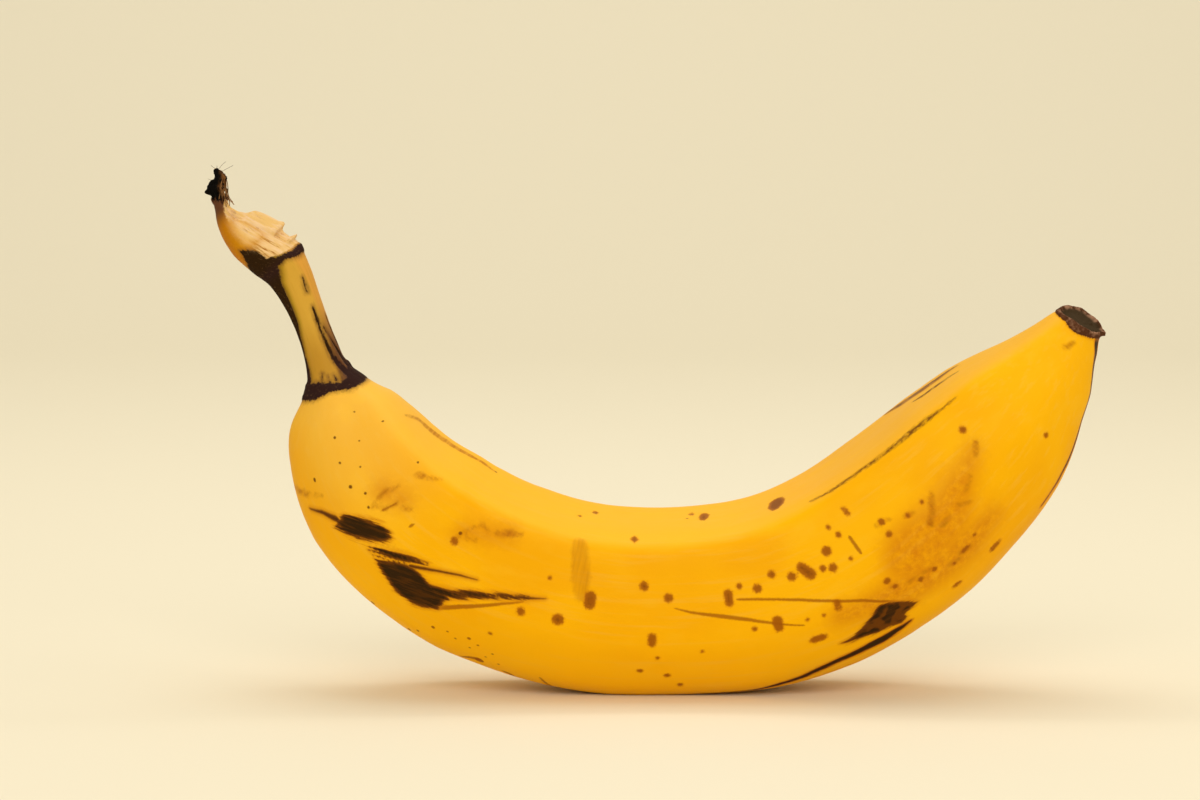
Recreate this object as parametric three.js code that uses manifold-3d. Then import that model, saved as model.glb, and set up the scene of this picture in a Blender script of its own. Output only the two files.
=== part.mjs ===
// A ripe banana standing on its belly, in millimetres, +Z up.
// X runs from the stem (left) to the blossom end (right), and -Y is the side that shows the most spots.
// The fruit grew in one piece, so it is one closed solid: a five-sided section that changes along a
// bent centre line, torn at the crown where it was pulled off its bunch, and dished at the blossom end.
import * as THREE from 'three';
import { mergeVertices } from 'three/addons/utils/BufferGeometryUtils.js';
import Module from 'manifold-3d';

const wasm = await Module();
wasm.setup();

const bellyWidth = 36.4; // across the fruit at the middle, from the outer curve to the inner one
const restDepth = 0.45; // how deep the belly is flattened where it stands
const sides = 40; // points around each section
const ringsPerStation = 3; // sections between two stations
const dishDepth = 1.1; // hollow in the dry cap at the blossom end
const dishRim = 0.84; // share of the cap's radius inside the rim
const tableSize = 400; // side of the block that cuts the belly flat
const tearDirection = 43; // degrees from the inner curve towards -Y that the torn crown faces
const edgeSharpness = 9; // higher makes the lengthwise edges of the peel crisper
const tearSharpness = 14; // higher makes the rim of the torn crown crisper

// The faces of the peel around a section: direction in degrees, from the inner curve towards -Y,
// and distance from the centre line as a share of the half width.
const faces = [
  [10, 0.87],
  [82, 0.99],
  [129, 0.99],
  [184, 0.98],
  [250, 0.97],
  [302, 0.95],
];

// Stations along the fruit: place of the centre line, half width, depth as a share of it, how much the
// faces show, twist of the faces in degrees, and distance of the torn surface as a share of it.
const stations = [
  { at: [-83.4, 0, 99.6], half: 0.9, depth: 0.95, face: 0, twist: 0, tear: 1.3 }, // charred tip
  { at: [-83.2, 0, 97.4], half: 2.0, depth: 0.95, face: 0, twist: 0, tear: 1.3 },
  { at: [-82.4, 0, 94.4], half: 1.4, depth: 0.95, face: 0, twist: 0, tear: 1.3 },
  { at: [-81.6, 0, 92.0], half: 2.2, depth: 0.95, face: 0, twist: 0, tear: 0.8 },
  { at: [-79.2, 0, 89.2], half: 3.9, depth: 0.9, face: 0, twist: 0, tear: 0.45 }, // torn crown
  { at: [-75.9, 0, 86.4], half: 5.1, depth: 0.9, face: 0.2, twist: 0, tear: 0.45 },
  { at: [-72.4, 0, 83.2], half: 5.4, depth: 0.9, face: 0.4, twist: 0, tear: 0.7 },
  { at: [-69.5, 0, 79.2], half: 4.4, depth: 0.9, face: 0.5, twist: 0, tear: 1.2 },
  { at: [-66.9, 0, 73.6], half: 3.6, depth: 0.95, face: 0.6, twist: 0, tear: 1.3 }, // stem
  { at: [-64.5, 0, 67.2], half: 3.5, depth: 0.95, face: 0.6, twist: 0, tear: 1.3 },
  { at: [-62.6, 0, 61.6], half: 4.3, depth: 0.95, face: 0.6, twist: 0, tear: 1.3 },
  { at: [-61.4, 0, 57.6], half: 6.5, depth: 0.95, face: 0.5, twist: 0, tear: 1.3 }, // neck
  { at: [-60.2, 0, 53.4], half: 10.2, depth: 0.95, face: 0.5, twist: 0, tear: 1.3 },
  { at: [-58.2, 0, 48.2], half: 13.0, depth: 0.95, face: 0.7, twist: 2, tear: 1.3 }, // shoulder
  { at: [-54.3, 0, 42.2], half: 15.3, depth: 0.95, face: 0.9, twist: 3, tear: 1.3 },
  { at: [-47.7, 0, 34.7], half: 16.9, depth: 0.95, face: 1, twist: 3, tear: 1.3 },
  { at: [-38.2, 0, 27.9], half: 17.8, depth: 0.95, face: 1, twist: 3, tear: 1.3 },
  { at: [-26.0, 0, 22.0], half: 18.0, depth: 0.95, face: 1, twist: 2, tear: 1.3 },
  { at: [-10.8, 0, 18.4], half: 18.1, depth: 0.95, face: 1, twist: 1, tear: 1.3 }, // belly
  { at: [6.0, 0, 18.0], half: bellyWidth / 2, depth: 0.95, face: 1, twist: 0, tear: 1.3 },
  { at: [22.0, 0, 20.1], half: 18.7, depth: 0.95, face: 1, twist: -2, tear: 1.3 },
  { at: [36.2, 0, 26.0], half: 19.0, depth: 0.95, face: 1, twist: -4, tear: 1.3 },
  { at: [48.7, 0, 34.7], half: 18.7, depth: 0.95, face: 1, twist: -5, tear: 1.3 },
  { at: [59.1, 0, 44.4], half: 17.3, depth: 0.95, face: 1, twist: -6, tear: 1.3 },
  { at: [67.1, -0.2, 53.2], half: 14.6, depth: 0.95, face: 0.9, twist: -6, tear: 1.3 },
  { at: [73.0, -0.5, 60.5], half: 10.7, depth: 0.95, face: 0.8, twist: -6, tear: 1.3 }, // taper
  { at: [77.1, -0.9, 66.2], half: 7.2, depth: 0.95, face: 0.5, twist: -6, tear: 1.3 },
  { at: [79.4, -1.4, 69.4], half: 5.5, depth: 0.95, face: 0.2, twist: -6, tear: 1.3 },
  { at: [80.4, -1.7, 71.0], half: 5.1, depth: 0.95, face: 0, twist: -6, tear: 1.3 }, // dry cap
];
const lastStation = stations.length - 1;

// Three smooth curves carry the station values: the centre line, and two for the section's shape.
const smoothCurve = (points) => new THREE.CatmullRomCurve3(points, false, 'catmullrom', 0.5);
const centreLine = smoothCurve(stations.map((s) => new THREE.Vector3(...s.at)));
const widths = smoothCurve(stations.map((s) => new THREE.Vector3(s.half, s.depth, s.face)));
const turns = smoothCurve(stations.map((s) => new THREE.Vector3(s.twist, s.tear, 0)));
const along = (curve, station) => curve.getPoint(THREE.MathUtils.clamp(station / lastStation, 0, 1));

// Radius of the section at an angle, where 1 is the half width.
function sectionRadius(angle, face, twist, tear) {
  let sum = 0;
  for (const [direction, distance] of faces) {
    const turned = Math.cos(angle - THREE.MathUtils.degToRad(direction + twist));
    sum += (Math.max(turned, 0) / distance) ** edgeSharpness;
  }
  const peel = 1 + (sum ** (-1 / edgeSharpness) - 1) * face;
  const facing = Math.cos(angle - THREE.MathUtils.degToRad(tearDirection));
  const torn = facing > 0.05 ? tear / facing : 20;
  return (peel ** -tearSharpness + torn ** -tearSharpness) ** (-1 / tearSharpness);
}

// How far the dry cap sinks below its rim, at a share of its radius.
const dishSink = (share) => dishDepth * Math.max(1 - (share / dishRim) ** 2, 0);

// The point of the fruit at a station, an angle around it and a share of the way out from its centre.
function fruitPoint(station, angle, share) {
  const centre = along(centreLine, station);
  const width = along(widths, station);
  const turn = along(turns, station);
  const tangent = along(centreLine, station + 0.5).sub(along(centreLine, station - 0.5)).normalize();
  const inner = new THREE.Vector3(-tangent.z, 0, tangent.x).normalize();
  const front = new THREE.Vector3().crossVectors(tangent, inner);
  const radius = share * width.x * sectionRadius(angle, width.z, turn.x, turn.y);
  centre.addScaledVector(inner, radius * Math.cos(angle));
  centre.addScaledVector(front, radius * Math.sin(angle) * width.y);
  return centre.addScaledVector(tangent, station < lastStation ? 0 : -dishSink(share));
}

// A straight blank, turned from a profile of (share of the radius, station), then bent onto the fruit.
function fruitGeometry() {
  const profile = [new THREE.Vector2(0, 0)];
  for (let i = 0; i <= lastStation * ringsPerStation; i += 1) {
    profile.push(new THREE.Vector2(1, i / ringsPerStation));
  }
  for (const share of [dishRim, dishRim * 0.7, dishRim * 0.35, 0]) {
    profile.push(new THREE.Vector2(share, lastStation));
  }
  const fruit = new THREE.LatheGeometry(profile, sides);
  const place = fruit.attributes.position;
  for (let i = 0; i < place.count; i += 1) {
    const share = Math.hypot(place.getX(i), place.getZ(i));
    const angle = Math.atan2(place.getX(i), place.getZ(i));
    place.setXYZ(i, ...fruitPoint(place.getY(i), angle, share));
  }
  return fruit;
}

// A closed geometry as a solid: its doubled vertices are merged and its collapsed triangles dropped.
function solidOf(geometry) {
  const bare = geometry.clone();
  bare.deleteAttribute('normal');
  bare.deleteAttribute('uv');
  const merged = mergeVertices(bare, 1e-3);
  const corners = merged.index.array;
  const kept = [];
  for (let i = 0; i < corners.length; i += 3) {
    const [a, b, c] = corners.slice(i, i + 3);
    if (a !== b && b !== c && c !== a) kept.push(a, b, c);
  }
  const vertProperties = new Float32Array(merged.attributes.position.array);
  return new wasm.Manifold(new wasm.Mesh({ numProp: 3, vertProperties, triVerts: new Uint32Array(kept) }));
}

// A solid as a geometry that three.js can draw.
function geometryOf(solid) {
  const mesh = solid.getMesh();
  const geometry = new THREE.BufferGeometry();
  geometry.setAttribute('position', new THREE.BufferAttribute(mesh.vertProperties, mesh.numProp));
  geometry.setIndex(new THREE.BufferAttribute(mesh.triVerts, 1));
  geometry.computeVertexNormals();
  return geometry;
}

// The fruit sunk by the rest depth, with what is below the surface cut away, centred over the origin.
function standingFruit() {
  const fruit = fruitGeometry();
  fruit.computeBoundingBox();
  const { min, max } = fruit.boundingBox;
  fruit.translate(-(min.x + max.x) / 2, -(min.y + max.y) / 2, -min.z - restDepth);
  const table = new THREE.BoxGeometry(tableSize, tableSize, tableSize);
  table.translate(0, 0, -tableSize / 2);
  return geometryOf(solidOf(fruit).subtract(solidOf(table)));
}

const peel = new THREE.MeshStandardMaterial({ color: 0xf2ac1b, roughness: 0.45, metalness: 0 });
const banana = new THREE.Mesh(standingFruit(), peel);
banana.name = 'banana';

const fruitGroup = new THREE.Group();
fruitGroup.add(banana);

export default fruitGroup;
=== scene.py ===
import math
import random

import bpy
import numpy as np
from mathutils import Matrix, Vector, noise


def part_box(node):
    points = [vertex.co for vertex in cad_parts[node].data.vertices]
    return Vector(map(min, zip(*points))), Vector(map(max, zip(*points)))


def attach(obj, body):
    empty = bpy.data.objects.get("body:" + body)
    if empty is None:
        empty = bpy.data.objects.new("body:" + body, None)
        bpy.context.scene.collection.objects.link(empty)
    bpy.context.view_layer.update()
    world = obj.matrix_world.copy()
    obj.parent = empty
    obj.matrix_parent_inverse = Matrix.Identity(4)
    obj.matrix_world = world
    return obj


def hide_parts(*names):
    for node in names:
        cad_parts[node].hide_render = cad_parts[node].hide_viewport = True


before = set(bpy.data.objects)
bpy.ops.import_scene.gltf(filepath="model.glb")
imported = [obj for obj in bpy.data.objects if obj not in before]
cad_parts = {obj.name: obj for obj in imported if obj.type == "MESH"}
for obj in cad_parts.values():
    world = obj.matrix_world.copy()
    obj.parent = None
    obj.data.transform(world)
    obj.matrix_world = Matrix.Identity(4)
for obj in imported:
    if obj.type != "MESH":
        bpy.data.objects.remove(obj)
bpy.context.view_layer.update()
fruitLow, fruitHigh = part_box("banana")
fruitSize = fruitHigh - fruitLow
print("frame loaded, fruit size in mm:", [round(v * 1000, 1) for v in fruitSize])

mm = 0.001

# one row per station from the charred tip to the dry cap, in mm:
# x, y, z of the centre line, half width, depth as a share of it, how much the faces show (0 to 1),
# twist of the faces in degrees, and distance of the torn surface as a share of the half width
stations = [
    (-83.6, 0, 99.6, 0.7, 0.95, 0, 0, 1.3),
    (-83.0, 0, 98.1, 1.5, 0.95, 0, 0, 1.3),
    (-83.4, 0, 96.3, 2.1, 0.95, 0, 0, 1.3),
    (-83.0, 0, 94.6, 1.8, 0.95, 0, 0, 1.2),
    (-82.1, 0, 92.6, 1.8, 0.95, 0, 0, 0.9),
    (-80.9, 0, 90.8, 2.8, 0.95, 0, 0, 0.6),
    (-78.8, 0, 88.8, 4.1, 0.9, 0, 0, 0.45),
    (-75.9, 0, 86.4, 5.1, 0.9, 0.2, 0, 0.45),
    (-72.4, 0, 83.2, 5.4, 0.9, 0.4, 0, 0.7),
    (-69.5, 0, 79.2, 4.4, 0.9, 0.5, 0, 1.2),
    (-66.9, 0, 73.6, 3.6, 0.95, 0.6, 0, 1.3),
    (-64.5, 0, 67.2, 3.5, 0.95, 0.6, 0, 1.3),
    (-62.6, 0, 61.6, 4.3, 0.95, 0.6, 0, 1.3),
    (-61.4, 0, 57.6, 6.5, 0.95, 0.5, 0, 1.3),
    (-60.2, 0, 53.4, 10.2, 0.95, 0.5, 0, 1.3),
    (-58.2, 0, 48.2, 13.0, 0.95, 0.7, 2, 1.3),
    (-54.3, 0, 42.2, 15.3, 0.95, 0.9, 3, 1.3),
    (-47.7, 0, 34.7, 16.9, 0.95, 1, 3, 1.3),
    (-38.2, 0, 27.9, 17.8, 0.95, 1, 3, 1.3),
    (-26.0, 0, 22.0, 18.0, 0.95, 1, 2, 1.3),
    (-10.8, 0, 18.4, 18.1, 0.95, 1, 1, 1.3),
    (6.0, 0, 18.0, 18.2, 0.95, 1, 0, 1.3),
    (22.0, 0, 20.1, 18.7, 0.95, 1, -2, 1.3),
    (36.2, 0, 26.0, 19.0, 0.95, 1, -4, 1.3),
    (48.7, 0, 34.7, 18.7, 0.95, 1, -5, 1.3),
    (59.1, 0, 44.4, 17.3, 0.95, 1, -6, 1.3),
    (67.1, -0.2, 53.2, 14.6, 0.95, 0.9, -6, 1.3),
    (73.0, -0.5, 60.5, 10.7, 0.95, 0.8, -6, 1.3),
    (77.1, -0.9, 66.2, 7.2, 0.95, 0.5, -6, 1.3),
    (79.4, -1.4, 69.4, 5.5, 0.95, 0.2, -6, 1.3),
    (80.4, -1.7, 71.0, 5.1, 0.95, 0, -6, 1.3),
]

fruitShape = {
    "faces": ((10, 0.87), (82, 0.99), (129, 0.99), (184, 0.98), (250, 0.97), (302, 0.95)),
    "edgeSharpness": 9,
    "tearDirection": 43,
    "tearSharpness": 16,
    "restDepth": 0.45,  # mm of belly pressed flat
    "sides": 192,
    # how far apart the rings are, in mm: (up to this length, spacing)
    "ringSpacing": ((8, 0.18), (24, 0.18), (44, 0.4), (52, 0.26), (215, 0.76), (226, 0.42), (228.9, 0.2)),
}


def smoothValues(rows, at):
    # the curve that the solid fruit follows: Catmull-Rom with a tension of a half
    padded = np.vstack([2 * rows[0] - rows[1], rows, 2 * rows[-1] - rows[-2]])
    start = np.clip(np.floor(at).astype(int), 0, len(rows) - 2)
    part = (at - start)[:, None]
    before, here, there, after = (padded[start + step] for step in range(4))
    leave, arrive = (there - before) / 2, (after - here) / 2
    cubic = 2 * here - 2 * there + leave + arrive
    square = -3 * here + 3 * there - 2 * leave - arrive
    return here + leave * part + square * part**2 + cubic * part**3


stationRows = np.array(stations, float)
lastStation = len(stations) - 1
fineSteps = 6000  # for measuring lengths along the centre line
fineStations = np.linspace(0, lastStation, fineSteps + 1)
fineCentres = smoothValues(stationRows[:, :3], fineStations)
fineLengths = np.concatenate([[0], np.cumsum(np.linalg.norm(np.diff(fineCentres, axis=0), axis=1))])
fruitLength = fineLengths[-1]


def stationAt(length):
    return np.interp(length, fineLengths, fineStations)


def halfWidth(length):
    return np.interp(stationAt(length), np.arange(lastStation + 1), stationRows[:, 3])


def skinPlace(length, around, share=1.0, lift=0.0):
    # mm along the centre line and degrees round it give a place on the skin, its way out and its way along
    length, around = np.broadcast_arrays(np.asarray(length, float), np.asarray(around, float))
    at = stationAt(length.ravel())
    row = smoothValues(stationRows, at)
    ahead = smoothValues(stationRows[:, :3], np.clip(at + 0.5, 0, lastStation))
    behind = smoothValues(stationRows[:, :3], np.clip(at - 0.5, 0, lastStation))
    tangent = ahead - behind
    tangent /= np.linalg.norm(tangent, axis=1)[:, None]
    inner = np.stack([-tangent[:, 2], 0 * at, tangent[:, 0]], 1)
    inner /= np.linalg.norm(inner, axis=1)[:, None]
    front = np.cross(tangent, inner)
    angle = np.radians(around.ravel())
    total = np.zeros_like(angle)
    for direction, distance in fruitShape["faces"]:
        turned = np.cos(angle - np.radians(direction + row[:, 6]))
        total += (np.clip(turned, 0, None) / distance) ** fruitShape["edgeSharpness"]
    peel = 1 + (total ** (-1 / fruitShape["edgeSharpness"]) - 1) * row[:, 5]
    facing = np.cos(angle - math.radians(fruitShape["tearDirection"]))
    edgeOn, faraway = 0.05, 20  # where the torn surface is nearly edge-on it is put out of reach
    torn = np.where(facing > edgeOn, row[:, 7] / np.maximum(facing, edgeOn), faraway)
    power = fruitShape["tearSharpness"]
    radius = (peel**-power + torn**-power) ** (-1 / power) * row[:, 3] * share + lift
    out = np.cos(angle)[:, None] * inner + (np.sin(angle) * row[:, 4])[:, None] * front
    place = row[:, :3] + radius[:, None] * out
    return [found.reshape(length.shape + (3,)) for found in (place, out, tangent)]


def ringLengths():
    rings, start = [0.0], 0.0
    for end, spacing in fruitShape["ringSpacing"]:
        end = min(end, fruitLength)
        count = max(1, round((end - start) / spacing))
        rings += list(np.linspace(start, end, count + 1)[1:])
        start = end
    return np.array(rings)


rings = ringLengths()
angles = np.arange(fruitShape["sides"]) * 360 / fruitShape["sides"] - 90  # the row starts at the back
ringGrid, angleGrid = np.meshgrid(rings, angles, indexing="ij")
skin, outward, tangentGrid = skinPlace(ringGrid, angleGrid)
print("skin laid out in", len(rings), "rings of", len(angles))
# moves the stations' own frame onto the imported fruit
gridLow, gridHigh = skin.reshape(-1, 3).min(0), skin.reshape(-1, 3).max(0)
shift = np.array([(fruitLow.x + fruitHigh.x) / 2 / mm - (gridLow[0] + gridHigh[0]) / 2,
                  (fruitLow.y + fruitHigh.y) / 2 / mm - (gridLow[1] + gridHigh[1]) / 2,
                  fruitLow.z / mm - gridLow[2] - fruitShape["restDepth"]])
halfGrid = halfWidth(ringGrid)

# where the marks on the skin lie: (mm from the charred tip along the fruit, degrees round it, and for
# strokes half the width in mm); 0 degrees is the inner side of the curve, 90 the front, 180 the outer side
marks = {
    "bruises": [
        [(69.1, 132), (68.8, 123), (68.8, 117.5), (70.5, 110), (72.3, 105), (74.5, 100.5), (76, 100.5),
         (77.2, 102.5), (76.6, 107.5), (74.9, 115), (73.1, 121), (71.4, 126), (69.9, 130.5)],
        [(77.2, 122), (78.3, 118), (80, 113), (81.8, 110.5), (83.6, 109), (85, 109.5), (86.2, 111.5),
         (88, 112.5), (90, 111.5), (91.5, 113), (90.5, 118), (90.3, 124), (88.2, 130), (86.5, 132.5),
         (84.6, 132), (82.6, 131), (80.7, 127.5), (78.7, 125)],
        [(171.6, 131.5), (170.3, 126.5), (168.5, 120.5), (165.9, 117), (164.7, 121), (162.7, 125),
         (160.1, 130), (158, 131), (158.9, 133), (161.2, 133.5), (163.8, 136.5), (166.2, 137),
         (167.9, 139.5), (169, 137), (169, 133), (170.2, 133)],
    ],
    "bruiseBlades": [
        [(75.7, 119, 0.3), (77.7, 113, 0.68), (79.4, 109.8, 0.82), (81.2, 106.5, 0.7), (85, 101, 0.25)],
        [(88.1, 114, 0.95), (91, 110, 0.85), (94, 104.5, 0.75), (98, 98.8, 0.6), (101.8, 94.8, 0.45),
         (104, 93, 0.3)],
    ],
    "bruiseStrokes": [
        [(64.7, 146, 0.12), (66.4, 134, 0.35), (68.7, 125, 0.6)],
        [(82.4, 109, 0.35), (84.7, 105, 0.3), (87, 101.5, 0.22), (90.7, 97, 0.18), (94, 94.5, 0.06)],
        [(101.5, 95, 0.3), (104, 93, 0.24), (107, 90.5, 0.04)],
    ],
    # the first stroke runs on along the bottom edge, where its thin dark line is painted contact shadow over
    # ridge browning
    "ridgeAndShadowStrokes": [
        [(169.4, 141.5, 0.2), (166.8, 142.5, 0.7), (163.9, 143.5, 1.0), (161.8, 143.2, 0.85),
         (157, 144, 0.6), (153.7, 146.5, 0.65), (150.9, 150, 0.6), (147.5, 153, 0.5), (143.9, 158, 0.3),
         (138, 160, 0.25), (128, 163, 0.2), (118, 164, 0.2), (111, 162, 0.12)],
        [(228.4, 157, 1.35), (225.5, 160, 1.05), (222.6, 161, 1.15), (216.8, 160, 0.9), (213.3, 157, 0.65),
         (205, 151, 0.32), (198, 149, 0.1)],
    ],
    "browning": [
        [(163.8, 45, 0.15), (169.3, 46, 0.3), (174.3, 46, 0.3), (179.5, 46.5, 0.34), (185, 47, 0.42),
         (190.2, 47.5, 0.52), (194, 48, 0.5), (198.5, 48.5, 0.25), (202.5, 48, 0.08)],
        [(190.2, -20, 0.6), (193.7, -13, 1.2), (198.8, -8, 1.5), (201.7, -7, 1.4), (207, -10, 0.6)],
        [(195.6, 9, 0.4), (198, 13, 0.8), (201.5, 14, 0.8), (206.4, 15, 0.4)],
    ],
    "stains": [
        [(71.3, 76, 0.25), (70.3, 84, 0.5), (70.5, 90, 0.35)], [(70.5, 92, 0.25), (71, 98, 0.2)],
        [(72.2, 95, 0.2), (73, 88, 0.25), (73.5, 83, 0.2)], [(75.1, 83, 0.3), (76.8, 80, 0.2)],
        [(72.2, 62, 0.6), (75.5, 57, 0.3), (77.2, 54, 0.1)],
        [(93.4, 65, 0.4), (96, 62, 0.75), (98.4, 60, 0.1)], [(90.1, 74, 0.35), (88.4, 76, 0.3)],
        [(86.6, 79, 0.3), (88.2, 70, 0.25), (89.8, 64, 0.15)], [(89.4, 65, 0.2), (91.7, 66, 0.25)],
        [(111.1, 57, 1.75), (112.5, 74, 1.8), (113.3, 84, 1.2)], [(112.8, 75, 0.8), (113.8, 84, 0.9)],
        [(60.8, 166, 0.2), (62, 150, 0.4), (64, 127, 0.15)],
        [(185, 81.5, 0.5), (183.2, 89, 0.6), (181.5, 93.5, 0.6)], [(198.2, 77, 0.45), (196.6, 82.5, 0.5)],
        [(192.8, 89.5, 0.35), (190.4, 94, 0.4)], [(173.5, 76.5, 0.45)], [(175.8, 77.5, 0.3)],
        [(178.7, 81.5, 0.45), (180.3, 83, 0.3)], [(187.6, 96.5, 0.4), (189.6, 101, 0.2)],
        [(182.6, 121.5, 0.6), (184.3, 123, 0.4)], [(179.7, 122.5, 0.45), (181.5, 124, 0.4)],
        [(175.2, 115, 0.35), (176.8, 116.5, 0.35)], [(172.2, 115, 0.35), (173.5, 114.5, 0.3)],
        [(169.6, 110.5, 0.5)], [(182.9, 99, 0.45), (184.8, 98, 0.4)],
        [(59.5, 24, 0.4), (63, 4, 0.8), (67.3, 0, 1.3), (71.3, -4, 1.2), (77.4, -6, 0.9), (83, -7, 0.7),
         (86.9, -5, 0.2)],
        [(190.2, -20, 0.9), (194, -12, 1.7), (199, -7, 2.1), (203, -6, 1.6), (207, -8, 0.7)],
        [(150, 255, 1.2), (156, 250, 0.8)],
        [(223.6, 84, 0.6), (225.4, 90, 0.35)],
    ],
    "broadStains": [
        [(176, 101, 6), (184, 98, 5), (191, 88, 3), (197, 79, 1.5)],
        [(160, 112, 2.5), (172, 119, 4.2), (184, 121, 4.2), (190, 120, 2.5)],
        [(70, 86, 2), (74, 80, 1.8)], [(87, 74, 1.5), (96, 62, 1.5)],
    ],
    # spots of one or two touching rounds
    "bigSpots": [
        [(115, 83.8, 1.15), (115, 88.2, 1.15)], [(109.9, 101, 1.15)],
        [(103.2, 101.5, 0.7), (103.2, 102.5, 0.8)], [(126.8, 105.5, 0.85), (126.8, 110, 0.75)],
        [(125.1, 75, 0.95)], [(129.8, 82, 0.95)], [(141.1, 81.5, 0.9), (141.1, 87, 0.85)],
        [(153.9, 79.5, 0.95)], [(156.3, 76.5, 1.0), (157.5, 82, 1.15)],
        [(159.9, 103, 0.7), (159.7, 107, 0.6)],
        [(149.1, 101.5, 0.95), (149.1, 106.5, 0.8)], [(154.2, 121, 0.85), (155.6, 121, 0.8)],
        [(162.2, 74, 1.05)], [(161.9, 84, 0.9)], [(150.2, 75, 0.85)], [(146.8, 81, 0.95)],
        [(169.6, 58.5, 0.55), (169.8, 61.5, 0.6)], [(182.9, 122, 0.6), (184.1, 122, 0.5)],
        [(86.7, 80.8, 0.85)],
        [(186.8, 138, 0.6), (188.6, 138, 0.5)], [(178.2, 139, 0.55), (179.2, 139, 0.45)],
    ],
    # the outlines of the spots on the inner facet
    "facetSpots": [
        [(153.9, 26.5), (154.9, 14.5), (156.9, 9.5), (158.6, 13), (159, 21.5), (158.2, 29.5), (156.4, 35),
         (154.7, 35)],
        [(137, 10.5), (137.7, 2.5), (138.8, 1.5), (139.5, 7.5), (139, 15), (137.9, 21), (137.1, 18)],
        [(134.8, 2), (135.5, -4), (136.1, 2), (135.5, 8)],
        [(121.9, 47), (122.8, 43), (123.8, 46.5), (122.9, 50.5)],
        [(112.6, 6), (113.1, 0.5), (114.3, 3.5), (113.5, 9.5)],
        [(109.2, 20), (109.8, 16.5), (110.5, 18), (109.9, 22)],
    ],
    "scratches": [
        [(142.7, 85.5, 0.2), (146.2, 87, 0.22), (150, 89.5, 0.22), (154, 93.5, 0.26), (158.7, 100, 0.26),
         (163.9, 108.5, 0.28), (167.4, 117.5, 0.25), (170.8, 128, 0.1)],
        [(130.7, 88, 0.08), (133.9, 91, 0.2), (137.2, 93, 0.3), (140.4, 95, 0.38), (144.2, 98, 0.32),
         (147.9, 102, 0.22), (153.4, 109, 0.1)],
        [(86.5, 130, 0.5), (90.1, 123, 0.5), (93.3, 114.5, 0.42), (96.5, 107.8, 0.34), (99.7, 101.5, 0.26),
         (103.2, 96, 0.12)],
        [(72.6, 94, 0.2), (73.4, 84, 0.12)], [(78.2, 89.3, 0.24), (78.5, 86.8, 0.24)],
        [(167.6, 73, 0.3), (167.9, 84, 0.3)], [(96.8, 158.5, 0.12), (98.3, 153.5, 0.4), (99.5, 151.5, 0.5)],
        [(103.5, 156.5, 0.3), (104.7, 157.5, 0.4), (105.7, 163.5, 0.2)],
        [(109.3, 150, 0.15), (111.6, 163, 0.35)],
        [(17.2, 122, 0.08), (18.6, 105, 0.08)], [(19.6, 118, 0.12), (22.4, 95, 0.12)],
        [(27.4, 138, 0.16), (27.9, 133, 0.16)],
    ],
}

# small round spots and dots: (mm along, degrees round, radius in mm)
smallSpots = [
    (134.4, 12, 0.3), (106.6, 78, 0.4),
    (127.8, 120, 0.4), (124.9, 131, 0.5), (129.5, 135, 0.55), (131.7, 144, 0.5), (135.6, 116, 0.33),
    (145, 104, 0.5), (99.7, 124, 0.35), (143.4, 78, 0.6), (160.1, 82, 0.65), (165.9, 69, 0.6),
    (164.8, 63, 0.5), (165.7, 84, 0.42), (154.1, 106, 0.33), (157, 107, 0.33), (174.3, 84, 0.65),
    (174.5, 76, 0.7), (179.2, 82, 0.5), (182.9, 81, 0.45), (169.3, 106, 0.7), (170, 112, 0.55),
    (174.3, 118, 0.62), (177.2, 118, 0.55), (180.4, 124, 0.4), (186.2, 119, 0.4), (198.3, 66, 0.75),
    (208.1, 114, 0.55), (40.7, 98, 0.3),
]
darkDots = [
    (61.5, 128, 0.28), (65.7, 102, 0.3), (61.2, 100, 0.16), (56.9, 96, 0.2), (57.8, 54, 0.2),
    (55.8, -18, 0.2), (70.2, 56, 0.18), (86.9, -5, 0.22), (86.9, 75, 0.3), (96.9, 135, 0.28),
    (91.1, 140, 0.28), (89.3, 152, 0.2), (88.1, 158, 0.3), (91.1, 164, 0.35), (81.2, 159, 0.3),
    (66.5, 166, 0.3), (70, 165, 0.2), (99.7, 152.5, 0.65), (115.3, 86.5, 0.45), (198.4, 66, 0.3),
    (95, 140, 0.15), (93.4, 137, 0.14), (98.6, 138, 0.18), (97.6, 143, 0.12), (101.2, 141, 0.14),
    (100.4, 146, 0.12), (102.6, 149, 0.14), (53.6, 70, 0.14), (59.4, 78, 0.13), (63.8, 88, 0.14),
    (68.2, 96, 0.22), (70.5, 100, 0.2),
]
# freckles on the far side: how many, where, and their radii in mm
farSpots = {"count": 34, "seed": 7, "along": (60, 215), "round": (196, 322), "radius": (0.3, 0.85)}
chance = random.Random(farSpots["seed"])
for _ in range(farSpots["count"]):
    farSpot = tuple(chance.uniform(*farSpots[part]) for part in ("along", "round", "radius"))
    marks["bigSpots"].append([farSpot])


outsideGap = 9.0  # mm, what a point far from a group of marks reads
farGap = 99.0
tiny = 1e-9


def wrapped(degrees):
    return (degrees + 180) % 360 - 180


def flatPath(path):
    # a path's rows, the same laid flat in mm, and how far across from its middle every skin point lies
    rows = np.array([tuple(row) + (0,) * (3 - len(row)) for row in path], float)
    middle = rows[:, 1].mean()
    flat = np.stack([rows[:, 0], np.radians(wrapped(rows[:, 1] - middle)) * halfWidth(rows[:, 0])], 1)
    return rows, flat, np.radians(wrapped(angleGrid - middle)) * halfGrid


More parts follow.
